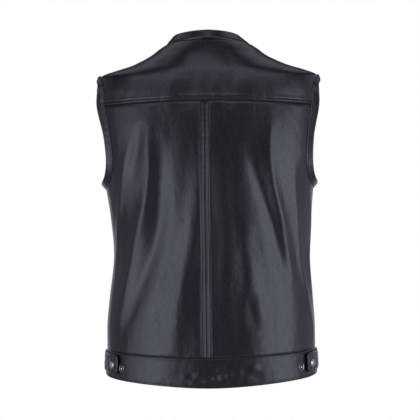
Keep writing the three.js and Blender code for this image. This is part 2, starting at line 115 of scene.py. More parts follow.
# Folds of the worn leather: the height of foot and head, the angles at four even heights from foot
# to head, the depth (minus for a trough), the width, and how sharp the crest is (2 is round, 1 is
# a crease).
FOLD_COLUMNS = ("foot", "head", "one", "two", "three", "four", "depth", "width", "crest")
FOLDS = np.array([
    (-560, -120, 66, 60, 45.5, 47, 5, 12, 1.6),
    (-600, -190, 66, 53, 40, 37, -5.5, 16, 2),
    (-610, -190, 29, 25, 13, 5, 4.5, 20, 2),
    (-450, -190, 78, 71, 62, 56, 3, 7, 1.3),
    (-280, -160, 55, 53, 51, 49, -2.5, 9, 2),
    (-470, -120, -60, -53, -44.5, -48, 5.5, 11, 1.5),
    (-470, -200, -56, -50, -40, -30, -5, 13, 2),
    (-540, -330, -36, -32, -29, -31, 3, 16, 2),
    (-640, -400, -35, -34, -34, -34, 4, 27, 2),
    (-590, -230, -78, -70, -64, -59, 3.5, 8, 1.3),
    (-540, -270, -80, -79, -81, -72, 2, 6, 1.3),
    (-560, -480, -34, -33, -32, -33, -2.5, 10, 2),
    (-600, -150, -14, -13, -12, -12, -3, 20, 2),
    (-140, -25, 33, 32, 33, 37, 2.2, 14, 2),
    (-140, -25, 16, 16, 17, 18, -2.2, 13, 2),
    (-140, -25, -8, -8, -9, -10, 1.8, 12, 2),
    (-140, -25, -20, -20, -22, -24, -2, 10, 2),
    (-140, -25, -36, -36, -38, -42, 2.2, 16, 2),
    (-590, -210, 130, 136, 142, 150, 4.5, 18, 2),
    (-560, -250, 108, 113, 119, 124, -4, 14, 2),
    (-480, -180, 158, 156, 151, 144, 3.5, 14, 1.7),
    (-580, -230, -127, -135, -142, -148, 4.5, 18, 2),
    (-570, -260, -106, -112, -119, -125, -4, 14, 2),
    (-520, -190, -160, -155, -152, -143, 3.5, 13, 1.7),
])


def curved(values, place):
    """Rows of values between their places, on a Catmull-Rom curve through them."""
    last = len(values) - 1
    row = np.clip(np.floor(place).astype(int), 0, last - 1)
    share = (place - row)[..., None]
    a, b, c, d = (values[np.clip(row + k, 0, last)] for k in (-1, 0, 1, 2))
    bend = -a + 3 * b - 3 * c + d
    return 0.5 * (2 * b + (c - a) * share + (2 * a - 5 * b + 4 * c - d) * share**2 + bend * share**3)


def ring_values(level):
    """Each column of the ring table at a level."""
    value = curved(RINGS, np.clip(level, 0, NECK))
    return {name: value[..., k] for k, name in enumerate(RING_COLUMNS)}


def body(angle, level):
    """A point of the smooth body: a superellipse of the ring's width and depth, whose height
    goes from the side's to the back's or front's by the squared cosine of the angle."""
    angle, level = np.broadcast_arrays(np.asarray(angle, float), np.asarray(level, float))
    ring = ring_values(level)
    s = np.sin(np.radians(angle))
    c = np.cos(np.radians(angle))
    depth = np.where(c > 0, ring["rear"], ring["fore"])
    power = ring["square"]
    radius = (np.abs(s / ring["width"])**power + np.abs(c / depth)**power)**(-1 / power)
    end = np.where(c > 0, ring["back"], ring["front"])
    height = ring["side"] + (end - ring["side"]) * c * c
    return np.stack([radius * s + ring["lean"], radius * c, height], -1)


def unit(vectors):
    """The same vectors brought to a length of 1."""
    return vectors / np.maximum(np.linalg.norm(vectors, axis=-1, keepdims=True), 1e-9)


def body_normal(angle, level):
    """The body's outward normal: the cross product of its upward and its sideways steps."""
    around = body(angle + 0.2, level) - body(angle - 0.2, level)
    up = body(angle, np.minimum(level + 0.02, NECK)) - body(angle, np.maximum(level - 0.02, 0))
    return unit(np.cross(up, around))


def level_at(angle, height):
    """The ring level at which the body has a given height, by halving the range."""
    angle, height = np.broadcast_arrays(np.asarray(angle, float), np.asarray(height, float))
    low = np.zeros(angle.shape)
    high = np.full(angle.shape, float(NECK))
    for _ in range(30):
        middle = (low + high) / 2
        under = body(angle, middle)[..., 2] < height
        low = np.where(under, middle, low)
        high = np.where(under, high, middle)
    return (low + high) / 2


def smooth(share):
    """A step from 0 to 1 that starts and ends level."""
    s = np.clip(share, 0, 1)
    return s * s * (3 - 2 * s)


def fold_rise(angle, points):
    """The lift of all folds at each point: along a fold its depth swells and fades as a sine,
    and across it falls off as an exponential of the distance from its path."""
    per_degree = np.radians(np.hypot(points[..., 0], points[..., 1]))
    rise = np.zeros(points.shape[:-1])
    for row in FOLDS:
        fold = dict(zip(FOLD_COLUMNS, row))
        s = np.clip((points[..., 2] - fold["foot"]) / (fold["head"] - fold["foot"]), 0, 1)
        path = curved(row[2:6, None], s * 3)[..., 0]
        turn = (angle - path + 180) % 360 - 180
        away = np.abs(turn) * per_degree / fold["width"]
        rise += fold["depth"] * np.sin(np.pi * s)**0.8 * np.exp(-away**fold["crest"])
    return rise


def skin(angle, level, lift):
    """A point of the leather: the body, raised along its normal by the folds and by lift."""
    points = body(angle, level)
    rise = fold_rise(angle, points) + lift
    return points + body_normal(angle, level) * rise[..., None]


def arm_places(start, end, count):
    """Angle and level at even steps of the armhole seam, on a Catmull-Rom curve."""
    t = np.linspace(start, end, count)
    row = np.floor(t).astype(int)
    share = (t - row)[:, None]
    knots = ARMHOLE * np.array([AROUND_SCALE, 1.0])
    a, b, c, d = (knots[(row + k) % len(knots)] for k in (-1, 0, 1, 2))
    bend = -a + 3 * b - 3 * c + d
    place = 0.5 * (2 * b + (c - a) * share + (2 * a - 5 * b + 4 * c - d) * share**2 + bend * share**3)
    angle = place[:, 0] / AROUND_SCALE
    return np.stack([angle, level_at(angle, place[:, 1])], -1)


def line(start, end, count):
    """Even steps of angle and level between two places."""
    return np.linspace(np.array(start, float), np.array(end, float), count)


def chain(*stretches):
    """Joins stretches of an edge end to end, without repeating the shared places."""
    return np.concatenate([stretches[0]] + [s[1:] for s in stretches[1:]])


def new_object(name, points, faces):
    """Puts points in millimetres and faces into a mesh object that sits at the origin."""
    mesh = bpy.data.meshes.new(f"{name}_form")
    mesh.from_pydata((points * MM).tolist(), [], [list(face) for face in faces])
    mesh.update()
    mesh.polygons.foreach_set("use_smooth", np.ones(len(mesh.polygons), dtype=bool))
    piece = bpy.data.objects.new(f"{name}_form", mesh)
    bpy.context.scene.collection.objects.link(piece)
    return piece


def outward(points, faces):
    """The quads of a closed form, turned round if the volume they enclose comes out negative."""
    a, b, c, d = (points[faces[:, k]] for k in range(4))
    volume = np.einsum("ij,ij->", a, np.cross(b, c)) + np.einsum("ij,ij->", a, np.cross(c, d))
    return faces if volume > 0 else faces[:, ::-1]


def grid_faces(rows, columns, start=0):
    """The quads of a grid of points, each row of them in order, turned outward."""
    i, j = np.meshgrid(np.arange(rows - 1), np.arange(columns - 1), indexing="ij")
    at = start + i * columns + j
    return np.stack([at, at + columns, at + columns + 1, at + 1], -1).reshape(-1, 4)


def wall(name, outer, inner):
    """A closed wall: the outer grid, the inner grid turned round, and a strip round their rim."""
    rows, columns = outer.shape[:2]
    half = rows * columns
    front = grid_faces(rows, columns)
    back = grid_faces(rows, columns, half)[:, ::-1]
    ids = np.arange(half).reshape(rows, columns)
    rim = np.concatenate([ids[0, :-1], ids[:-1, -1], ids[-1, :0:-1], ids[:0:-1, 0]])
    after = np.roll(rim, -1)
    edge = np.stack([rim, after, after + half, rim + half], -1)
    points = np.concatenate([outer.reshape(-1, 3), inner.reshape(-1, 3)])
    faces = np.concatenate([front, back, edge])
    piece = new_object(name, points, outward(points, faces))
    inside = np.repeat([0, 1, 0], [len(front), len(back), len(edge)]).astype(np.int32)
    piece.data.polygons.foreach_set("material_index", inside)
    return piece


def count(number):
    return max(4, int(number * (1)))


def shares(length, fine_start=0.0, fine_end=0.0, fine=0.7, coarse=2.4):
    """Grid places from 0 to 1 over a length in millimetres: close together within fine_start
    and fine_end of its ends, wide apart between them."""
    knots = [0.0]
    for stop, step in ((fine_start, fine), (length - fine_end, coarse), (length, fine)):
        steps = int(round((stop - knots[-1]) / step))
        if steps > 0:
            knots.extend(np.linspace(knots[-1], stop, steps + 1)[1:])
    return np.array(knots) / length


def along(edge, share):
    """The places of an edge at the given shares of its index."""
    index = np.arange(len(edge)) / (len(edge) - 1)
    return np.stack([np.interp(share, index, edge[:, k]) for k in (0, 1)], -1)


def mirrored(edge, side):
    """The same edge on the wearer's other side."""
    return edge * np.array([side, 1.0])


def panel_places(inside, outside, rows, columns):
    """Angle and level over a panel: rows run straight from the inside edge to the outside one."""
    start, end = along(inside, rows)[:, None], along(outside, rows)[:, None]
    share = columns[None, :, None]
    places = start * (1 - share) + end * share
    return places[..., 0], places[..., 1]


def dent(distance, width):
    """A smooth dent that is 1 at its middle and gone at about twice its width."""
    return np.exp(-(distance / width)**2)


def sewn(piece, nodes):
    """Rides a leather piece on the vest in place of its solids."""
    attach(piece, "root")
    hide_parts(*nodes)
    return piece


ARM_BACK = arm_places(0, YOKE_CORNER, 201)
ARM_YOKE = arm_places(YOKE_CORNER, SHOULDER_CORNER, 161)
ARM_FRONT = arm_places(SHOULDER_CORNER, ARM_END, 241)
ARM_LOOP = chain(ARM_BACK, ARM_YOKE, ARM_FRONT)

# How many ring levels the back panels go on under the yoke, and how many degrees the right one
# goes on under the left
LAP_LEVEL = 0.5
UNDER_LAP = 7.0

# Distances from the centre seam, in millimetres, of its rows of stitches and of the ridges
SEAM_ROWS = (8.8, 16.5)
SEAM_RIDGES = (5.0, 12.6)

# Distances of the waistband's rows of stitches from its seam, and of the yoke's from its edge
BAND_ROWS = (4.5, 48.0)
YOKE_ROW = 8.0


def puckers(places, pitch, seed):
    """Uneven small waves along a seam, from three sines whose lengths don't divide."""
    turn = places * 2 * np.pi / pitch + seed
    return np.sin(turn) + 0.6 * np.sin(turn * 1.73 + 1.1) + 0.4 * np.sin(turn * 0.61 + seed * 2.3)


def centre_seam(angle, level, side):
    """Lift beside the centre-back seam. The left panel lies on the right one: it stands up by
    its thickness from the lapped edge past the second row of stitches, and swells into a ridge
    before each row. The right panel only dips under the edge."""
    away = np.abs(body(angle, level)[..., 0])
    height = body(angle, level)[..., 2]
    if side < 0:
        return -0.5 * dent(away, 1.5)
    raised = FELL_RISE * (1 - smooth((away - 14.5) / 7))
    ridges = 1.1 * dent(away - SEAM_RIDGES[0], 1.7) + 1.1 * dent(away - SEAM_RIDGES[1], 1.8)
    rows = 1.3 * dent(away - SEAM_ROWS[0], 1.2) + 1.2 * dent(away - SEAM_ROWS[1], 1.3)
    wave = 0.12 * puckers(height, 11, 0.7) * dent(away - 8, 9)
    return raised + ridges - rows + wave - 2.6 * dent(away, 1.9)


def seam_dip(level, at, millimetres_per_level, width, depth):
    """The leather turns down into a seam that lies along one ring level."""
    return depth * dent((level - at) * millimetres_per_level, width)


def build_back_panel(name, side):
    """One back panel, from the centre seam to the side seam and the armhole."""
    top = YOKE_SEAM + LAP_LEVEL
    arm = np.concatenate([ARM_BACK, along(ARM_YOKE, np.linspace(0, 0.13, 12))[1:]])
    edge = chain(line((SIDE_SEAM, BAND_SEAM), ARM_BACK[0], 240), arm)
    edge[-1, 1] = top
    under_lap = 0.0 if side > 0 else -UNDER_LAP
    centre = line((under_lap, BAND_SEAM), (under_lap, top), 240)
    up, across = shares(PANEL_HEIGHT, 14, 20), shares(PANEL_WIDTH, 36, 6, 0.6)
    angle, level = panel_places(mirrored(centre, side), mirrored(edge, side), up, across)
    gathers = puckers(angle, 7, side) * seam_dip(level, BAND_SEAM, BAND_HEIGHT, 9, 0.135)
    seam = seam_dip(level, BAND_SEAM, BAND_HEIGHT, 2.5, 1.0) + gathers
    under_yoke = seam_dip(level, YOKE_SEAM, YOKE_STEP, 2.0, 0.5)
    over = centre_seam(angle, level, side) - seam - under_yoke
    hidden = smooth((level - YOKE_SEAM + 0.06) / 0.1)
    outer = skin(angle, level, over * (1 - hidden) - 1.1 * hidden)
    lifted = np.maximum(over - LEATHER, -LEATHER) if side > 0 else np.full(angle.shape, -LEATHER)
    piece = wall(name, outer, skin(angle, level, lifted - 0.2 * hidden))
    return sewn(piece, [name])


class VEST_OT_back_panels(bpy.types.Operator):
    """Make the two back panels, the left one lapped over the right."""
    bl_idname = "vest.back_panels"
    bl_label = "Back panels"

    def execute(self, context):
        for name, side in (("back_panel_left", 1), ("back_panel_right", -1)):
            dress(build_back_panel(name, side), "leather", "flesh")
        return {"FINISHED"}


YOKE_HEM = 12.0


def build_yoke():
    """The yoke: rows go round the back from armhole to armhole, then over the shoulders to the
    neck. Its lower edge laps over the back panels, is folded in by its hem's height and is
    topstitched."""
    seam_line = line(ARM_YOKE[-1], (SHOULDER_SEAM, NECK), 120)
    edge = chain(ARM_YOKE, seam_line)
    centre = line((0, YOKE_SEAM), (0, NECK), len(edge))
    rows = shares(190, 16, 8)
    half = shares(300, 0, 8)
    columns = np.concatenate([-half[::-1], half[1:]])
    start, end = along(centre, rows)[:, None], along(edge, rows)[:, None]
    share = np.abs(columns)[None, :]
    angle = end[..., 0] * columns[None, :]
    level = start[..., 1] * (1 - share) + end[..., 1] * share
    height = body(angle, level)[..., 2]
    drop = height - body(angle, np.full(level.shape, float(YOKE_SEAM)))[..., 2]
    stitch = 0.8 * dent(drop - YOKE_ROW, 1.3) - 0.7 * dent(drop - 4, 2.4)
    rim = 2.7 * dent(drop, 3.0) + seam_dip(level, NECK, NECK_STEP, 2.4, 1.3)
    gathers = 0.15 * puckers(angle, 6, 2) * dent(drop - 5, 7)
    over = YOKE_RISE + 1.7 * dent(drop, 9) - stitch - rim + gathers
    under = np.where(drop < YOKE_HEM, 0.1, -LEATHER)
    piece = wall("yoke", skin(angle, level, over), skin(angle, level, under))
    return sewn(piece, ["yoke"])


class VEST_OT_yoke(bpy.types.Operator):
    """Make the yoke that laps over the back panels and covers both shoulders."""
    bl_idname = "vest.yoke"
    bl_label = "Yoke"

    def execute(self, context):
        dress(build_yoke(), "leather", "flesh")
        return {"FINISHED"}


def lapped(points, rise):
    """The lift of the left front's lap: its full rise as far as the right front's edge, easing
    off past it."""
    return rise * (1 - smooth((points[..., 0] - FRONT_LAP - 2) / LAP_EASE))


def build_front_panel(name, side):
    """One front: the side seam, armhole and shoulder seam outside, the centre front inside. The
    left one rises over the right one beside the centre front."""
    low = (SIDE_SEAM, BAND_SEAM)
    seam = line((SHOULDER_SEAM, ARM_FRONT[0, 1]), (SHOULDER_SEAM, NECK), 90)
    edge = chain(line(low, (SIDE_SEAM, ARM_BACK[0, 1]), 200), ARM_FRONT[::-1], seam)
    stops = (0, 199, 439, len(edge) - 1)
    levels = np.interp(np.arange(len(edge)), stops, (BAND_SEAM, UNDERARM - 0.3, SHOULDER, NECK))
    depth = np.abs(body(CENTRE_FRONT, levels)[..., 1])
    lapped_angle = CENTRE_FRONT + np.degrees(np.arctan2(FRONT_LAP, depth))
    centre = np.stack([lapped_angle, levels], -1)
    up = shares(FRONT_HEIGHT, 12, 8, 0.9, 3.2)
    across = shares(PANEL_WIDTH, 14, 8, 0.9, 3.2)
    angle, level = panel_places(mirrored(centre, side), mirrored(edge, side), up, across)
    points = body(angle, level)
    away = points[..., 0] * side + FRONT_LAP
    seam_roll = seam_dip(level, BAND_SEAM, BAND_HEIGHT, 2.5, 1.0) + seam_dip(level, NECK, 12, 2.5, 0.9)
    rows = 0.7 * dent(away - 6, 1.3) + 0.8 * dent(away, 1.0)
    lift = lapped(points, LAP_RISE) if side > 0 else 0.0
    outer = skin(angle, level, lift - seam_roll - rows)
    piece = wall(name, outer, skin(angle, level, lift - LEATHER))
    return sewn(piece, [name])


class VEST_OT_fronts(bpy.types.Operator):
    """Make the two fronts, the left one lapped over the right."""
    bl_idname = "vest.fronts"
    bl_label = "Fronts"

    def execute(self, context):
        for name, side in (("front_panel_left", 1), ("front_panel_right", -1)):
            dress(build_front_panel(name, side), "leather", "flesh")
        return {"FINISHED"}


def band_lift(angle, level):
    """Lift of the waistband's outer face: rolled at the seam and the hem, dented by its rows of
    stitches, with short slanting crumples that are deepest behind."""
    height = (BAND_SEAM - level) * BAND_HEIGHT
    rolled = 1.3 * dent(height, 1.6) + 1.4 * dent(height - BAND_HEIGHT, 1.8)
    rows = 0.5 * dent(height - BAND_ROWS[0], 1.2) + 0.4 * dent(height - BAND_ROWS[1], 1.2)
    crumples = puckers(angle + height * 0.12, 17, 0.4) * puckers(height - angle * 0.5, 37, 1.7)
    deepest = 0.16 + 0.4 * dent(angle + 6, 32)
    crumples = crumples * deepest * np.sin(np.pi * np.clip(height / BAND_HEIGHT, 0, 1))
    return BAND_RISE - rolled - rows + crumples


def build_band(name, start, end, length):
    """One stretch of the waistband, between two angles."""
    around = start + (end - start) * shares(length, 6, 6, 0.9, 2.2)
    angle, level = np.meshgrid(around, np.linspace(HEM, BAND_SEAM, count(46)))
    over_right = name.endswith("front_left")
    lift = lapped(body(angle, level), BAND_LAP_RISE) if over_right else 0.0
    height = (BAND_SEAM - level) * BAND_HEIGHT
    inner = BAND_RISE - BAND_LEATHER + 1.2 * dent(height - BAND_HEIGHT, 1.8)
    outer = skin(angle, level, band_lift(angle, level) + lift)
    piece = wall(name, outer, skin(angle, level, inner + lift))
    return sewn(piece, [name])


class VEST_OT_waistband(bpy.types.Operator):
    """Make the waistband: one strip behind and one on each front."""
    bl_idname = "vest.waistband"
    bl_label = "Waistband"

    def execute(self, context):
        lap = math.degrees(math.atan2(FRONT_LAP, RINGS[0, 5]))
        end = CENTRE_FRONT + lap
        pieces = (
            build_band("waistband_back", -SIDE_SEAM, SIDE_SEAM, 545),
            build_band("waistband_front_left", SIDE_SEAM, end, 285),
            build_band("waistband_front_right", -SIDE_SEAM, -end, 285),
        )
        for piece in pieces:
            dress(piece, "leather", "flesh")
        return {"FINISHED"}


def end_faces(columns, start):
    """Quads that close a ring with an even number of corners, as strips between its two sides."""
    k = np.arange(columns // 2 - 1)
    last = columns - 1 - k
    return start + np.stack([last, last - 1, k + 1, k], -1)


def swept(name, spine, across, out, profile, closed):
    """A strip carried along a spine. profile lists how far each corner of its closed section
    lies across and out; the section may vary along the spine."""
    sections = spine[:, None] + profile[..., :1] * across[:, None] + profile[..., 1:] * out[:, None]
    rows, columns = sections.shape[:2]
    i, j = np.meshgrid(np.arange(rows if closed else rows - 1), np.arange(columns), indexing="ij")
    here, ahead, after = i * columns, (i + 1) % rows * columns, (j + 1) % columns
    faces = np.stack([here + j, here + after, ahead + after, ahead + j], -1).reshape(-1, 4)
    if not closed:
        last = end_faces(columns, (rows - 1) * columns)[:, ::-1]
        faces = np.concatenate([faces, end_faces(columns, 0), last])
    points = sections.reshape(-1, 3)
    return new_object(name, points, outward(points, faces))


def round_strip(width, thick, corners, square=2.6):
    """The section of a stuffed strip: a superellipse of its width and thickness."""
    turn = np.linspace(0, 2 * np.pi, corners, endpoint=False)
    c, s = np.cos(turn), np.sin(turn)
    power = 2 / square
    across = width / 2 * np.sign(c) * np.abs(c)**power
    out = thick / 2 * np.sign(s) * np.abs(s)**power
    return np.stack([across, out], -1)


def arc_length(points):
    """How far along a line each of its points lies."""
    steps = np.linalg.norm(np.diff(points, axis=0), axis=1)
    return np.concatenate([[0], np.cumsum(steps)])


def even_places(edge, lift, pitch, closed=False):
    """Places at an even pitch along an edge of the skin, with their points and normals."""
    points = skin(edge[:, 0], edge[:, 1], lift)
    length = arc_length(points)
    number = max(2, int(round(length[-1] / pitch)))
    at = np.linspace(0, length[-1], number + 1)
    at = at[:-1] if closed else at
    angle = np.interp(at, length, edge[:, 0])
    level = np.interp(at, length, edge[:, 1])
    return angle, level, skin(angle, level, lift), body_normal(angle, level)


def directions(points, out, closed):
    """The way along a line, and the way across it in the leather."""
    if closed:
        ahead, behind = np.roll(points, -1, axis=0), np.roll(points, 1, axis=0)
    else:
        ahead = np.concatenate([points[1:], points[-1:]])
        behind = np.concatenate([points[:1], points[:-1]])
    forward = unit(ahead - behind)
    return forward, unit(np.cross(out, forward))


def blurred(vectors, reach):
    """Unit vectors round a closed loop, each the average of those within reach places of it."""
    return unit(sum(np.roll(vectors, k, axis=0) for k in range(-reach, reach + 1)))


# The strip round each armhole, in millimetres and degrees: how far apart its sections are, the
# sides of its groove, how it curls behind and before the shoulder, and where its top is pressed in
BINDING_WIDTH = 14.5
BINDING_THICK = 5.6
BINDING_STEP = 2.4
BINDING_GROOVE = 2.6
BINDING_FLARE = (62.0, 20.0)
SHOULDER_EDGE = 219.5
SHOULDER_PRESS = 0.2
SHOULDER_LIFT = 4.5


def press_in(piece, edge, share, lift):
    """Presses what stands out sideways past edge at the top of the shoulder, in millimetres,
    back to a share of that, and lifts the strip there, so that it stands up as a rounded rim."""
    places = np.empty(len(piece.data.vertices) * 3)
    piece.data.vertices.foreach_get("co", places)
    x, z = places[0::3] / MM, places[2::3] / MM
    top = smooth((z + 106) / 26)
    past = np.maximum(np.abs(x) - edge, 0) * top
    places[0::3] = (x - np.sign(x) * past * (1 - share)) * MM
    places[2::3] = (z + lift * top * smooth((np.abs(x) - edge + 7) / 5)) * MM
    piece.data.vertices.foreach_set("co", places)
    piece.data.update()


def build_binding(name, side):
    """The rounded strip round an armhole: a stuffed section carried along the seam, whose
    thickness and width swell and shrink a little, with a stitched groove near its seam."""
    loop = mirrored(ARM_LOOP, side)
    step = BINDING_STEP
    angle, _, points, out = even_places(loop, -0.3, step, closed=True)
    out = blurred(out, 8)
    across = blurred(directions(points, out, closed=True)[1], 6) * side
    profile = np.repeat(round_strip(BINDING_WIDTH, BINDING_THICK, 28)[None], len(points), axis=0)
    length = np.arange(len(points)) * BINDING_STEP
    swell = 1 + 0.035 * puckers(length, 13, side)[:, None]
    from_seam = profile[..., 0] + BINDING_WIDTH / 2
    groove = 0.9 * dent(from_seam - BINDING_GROOVE, 0.9) * (profile[..., 1] > 0)
    profile[..., 1] = profile[..., 1] * swell - groove
    high = points[:, 2]
    wide = 1 + 0.2 * dent(high + 122, 42) - 0.15 * smooth((high + 92) / 26)
    reach, rise = from_seam * wide[:, None], profile[..., 1]
    behind, before = BINDING_FLARE
    curl = behind + (before - behind) * smooth((np.abs(angle)[:, None] - 94) / 12)
    turn = np.radians(curl) * reach / BINDING_WIDTH
    profile[..., 0] = reach * np.cos(turn / 2) - rise * np.sin(turn) - 0.5
    profile[..., 1] = reach * np.sin(turn / 2) + rise * np.cos(turn)
    piece = swept(name, points, across, out, profile, True)
    press_in(piece, SHOULDER_EDGE, SHOULDER_PRESS, SHOULDER_LIFT)
    return sewn(piece, [name])


class VEST_OT_bindings(bpy.types.Operator):
    """Make the rounded binding of each armhole."""
    bl_idname = "vest.bindings"
    bl_label = "Armhole bindings"

    def execute(self, context):
        for name, side in (("armhole_binding_left", 1), ("armhole_binding_right", -1)):
            dress(build_binding(name, side), "binding", "binding")
        return {"FINISHED"}


# The collar's height in millimetres, how far its top leans in at the middle and how much more at
# the left and the right side, the angle of its ends, and how much further down it reaches before
COLLAR_HEIGHT = 19.5
COLLAR_LEAN = 5.0
COLLAR_SIDE_LEANS = (10.0, 18.0)
COLLAR_END = 176.0
COLLAR_TUCK = 2.4


def build_collar():
    """The stand collar: a rounded band that rises from the neck seam and leans in, with a row
    of stitches near each long edge. Its lower edge is drawn in behind and reaches further down
    before the wearer."""
    angle = np.linspace(-COLLAR_END, COLLAR_END, count(420))
    points = body(angle, NECK)
    away = unit(points * np.array([1, 1, 0]))
    side_lean = np.where(angle > 0, *COLLAR_SIDE_LEANS) * np.abs(np.sin(np.radians(angle)))
    lean = (COLLAR_LEAN + side_lean) / COLLAR_HEIGHT
    up = np.array([0, 0, 1.0]) - away * lean[:, None]
    section = round_strip(COLLAR_HEIGHT + 1.5, COLLAR_LEATHER + 0.9, 40, 3.4)
    profile = np.repeat(section[None], len(angle), axis=0)
    height = profile[..., 0] + COLLAR_HEIGHT / 2
    rows = 0.45 * dent(height - 16, 1.0) + 0.45 * dent(height - 3.5, 1.0)
    around = angle[:, None]
    creases = puckers(around + height * 0.5, 9, 1.3) * puckers(around - height, 31, 0.6)
    before = smooth((np.abs(around) - 60) / 30)
    dip = (2.6 - 1.6 * before) * dent(height, 2.0)
    waves = 0.16 * creases * dent(height - 9, 6) + 0.9 * dent(height - 5, 3) - dip
    profile[..., 1] += (waves - rows) * (profile[..., 1] > 0)
    ends = smooth((COLLAR_END - np.abs(angle)) / 6)[:, None]
    profile[..., 0] = (profile[..., 0] + COLLAR_HEIGHT / 2) * (0.72 + 0.28 * ends)
    profile[..., 0] -= COLLAR_TUCK * before * smooth((2.5 - height) / 3)
    profile[..., 1] -= COLLAR_LEATHER / 2
    piece = swept("collar", points, up, away, profile, False)
    return sewn(piece, ["collar"])


class VEST_OT_collar(bpy.types.Operator):
    """Make the low stand collar."""
    bl_idname = "vest.collar"
    bl_label = "Collar"

    def execute(self, context):
        dress(build_collar(), "leather", "leather")
        return {"FINISHED"}


# The side tabs: heights in millimetres, the angles of root and ends, sizes, where along it the
# snap sits, and how far it stands off the band at its root and how much further at its end
TAB_TOP, TAB_BOTTOM = -605.5, -643.0
TAB_ROOT = 89.0
TAB_ENDS = {1: 64.8, -1: 66.5}
TAB_LENGTH, TAB_WIDTH = 95.0, 37.0
TAB_THICK = 2.6
TAB_SNAP = 0.8
TAB_STANDS_OFF = 0.75
TAB_RISE = 3.2


def tab_place(side, share, height):
    """Angle and level on a tab, by the share of its length from the side seam and its height."""
    angle = TAB_ROOT + (TAB_ENDS[side] - TAB_ROOT) * share
    return side * angle, level_at(side * angle, height)


def tab_lift(share):
    """The tab lies on the band at its root and lifts off towards its end."""
    return BAND_RISE + TAB_STANDS_OFF + TAB_RISE * smooth((share - 0.45) / 0.55)


def build_tab(name, side):
    """A side tab: a stuffed strap with rounded corners at its free end, rolled edges and
    wrinkles round its snap."""
    share = shares(TAB_LENGTH, 3, 10, 0.6, 1.3)[None, :]
    rise = np.linspace(0, 1, count(40))[:, None]
    corner = smooth((1 - share) * TAB_LENGTH / 7)
    middle = (TAB_TOP + TAB_BOTTOM) / 2
    half = (TAB_TOP - TAB_BOTTOM) / 2 * (0.72 + 0.28 * np.sqrt(corner))
    height = middle + (rise * 2 - 1) * half
    angle, level = tab_place(side, share, height)
    edge = np.minimum(np.minimum(rise, 1 - rise) * TAB_WIDTH, (1 - share) * TAB_LENGTH)
    rolled = 1.2 * dent(edge, 1.3) + 0.45 * dent(edge - 4, 1.0)
    slanting = 0.34 * puckers(share * TAB_LENGTH + height * 0.4, 15, side)
    wrinkles = slanting + 0.22 * puckers(height - share * 40, 11, side)
    lift = tab_lift(share) + 0 * height
    outer = skin(angle, level, lift + TAB_THICK - rolled + wrinkles * smooth(edge / 6))
    piece = wall(name, outer, skin(angle, level, lift + 0.6 * dent(edge, 1.0)))
    return sewn(piece, [name])


class VEST_OT_tabs(bpy.types.Operator):
    """Make the two side tabs."""
    bl_idname = "vest.tabs"
    bl_label = "Side tabs"

    def execute(self, context):
        for name, side in (("tab_left", 1), ("tab_right", -1)):
            dress(build_tab(name, side), "leather", "leather")
        return {"FINISHED"}


def lathe(name, spots, outs, curve):
    """Turned pieces, one at each spot: the curve gives radius and height, and is carried round
    the spot's outward axis."""
    turn = np.linspace(0, 2 * np.pi, 49)[:-1]
    steps = np.linspace(0, len(curve) - 1, 5 * (len(curve) - 1) + 1)
    knots = np.arange(len(curve))
    radius, height = (np.interp(steps, knots, [row[k] for row in curve]) for k in (0, 1))
    points, faces = [], []
    for spot, out in zip(spots, outs):
        one = unit(np.cross(out, (0.0, 0.0, 1.0)))
        other = np.cross(out, one)
        ring = np.cos(turn)[:, None] * one + np.sin(turn)[:, None] * other
        grid = spot + radius[:, None, None] * ring + height[:, None, None] * out
        start = sum(len(p) for p in points)
        i, j = np.meshgrid(np.arange(len(steps) - 1), np.arange(len(turn)), indexing="ij")
        here, ahead = start + i * len(turn), start + (i + 1) * len(turn)
        after = (j + 1) % len(turn)
        faces.append(np.stack([here + j, here + after, ahead + after, ahead + j], -1).reshape(-1, 4))
        faces.append(end_faces(len(turn), start))
        faces.append(end_faces(len(turn), start + (len(steps) - 1) * len(turn))[:, ::-1])
        points.append(grid.reshape(-1, 3))
    points, faces = np.concatenate(points), np.concatenate(faces)
    return new_object(name, points, outward(points, faces))


# Sections of the snap parts, as shares of the radius and heights in millimetres, and the stud's
# radius as a share of the cap's
CAP_CURVE = (
    (0.02, -1.2), (0.84, -1.2), (0.95, -0.6), (1.0, 0.2), (1.0, 0.8), (0.97, 1.3), (0.91, 1.55),
    (0.85, 1.45), (0.81, 1.35), (0.76, 1.75), (0.66, 2.2), (0.5, 2.7), (0.32, 3.0), (0.15, 3.15),
    (0.01, 3.2),
)
STUD_CURVE = (
    (0.02, -1.2), (0.84, -1.2), (0.97, -0.4), (1.0, 0.6), (0.98, 1.5), (0.92, 2.0), (0.84, 1.9),
    (0.78, 1.2), (0.76, 0.0), (0.7, -0.4), (0.46, -0.4), (0.4, 0.2), (0.38, 1.8), (0.34, 2.5),
    (0.25, 2.8), (0.14, 2.95), (0.01, 3.0),
)
STUD_RADIUS = 0.9


def snap_spot(node, lift):
    """Where a CAD snap's middle stands on the leather, and the way out of it."""
    low, high = (np.array(corner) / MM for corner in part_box(node))
    middle = (low + high) / 2
    angle = np.degrees(np.arctan2(middle[0], middle[1]))
    level = level_at(angle, middle[2])
    return skin(angle, level, np.array(lift)), body_normal(angle, level)


def build_snaps(name, nodes, lift, curve, radius):
    """A joined set of like snap parts, one for each CAD snap named."""
    spots, outs = zip(*(snap_spot(node, lift) for node in nodes))
    shaped = [(share * radius, height) for share, height in curve]
    piece = lathe(name, spots, outs, shaped)
    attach(piece, "root")
    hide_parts(*nodes)
    return piece


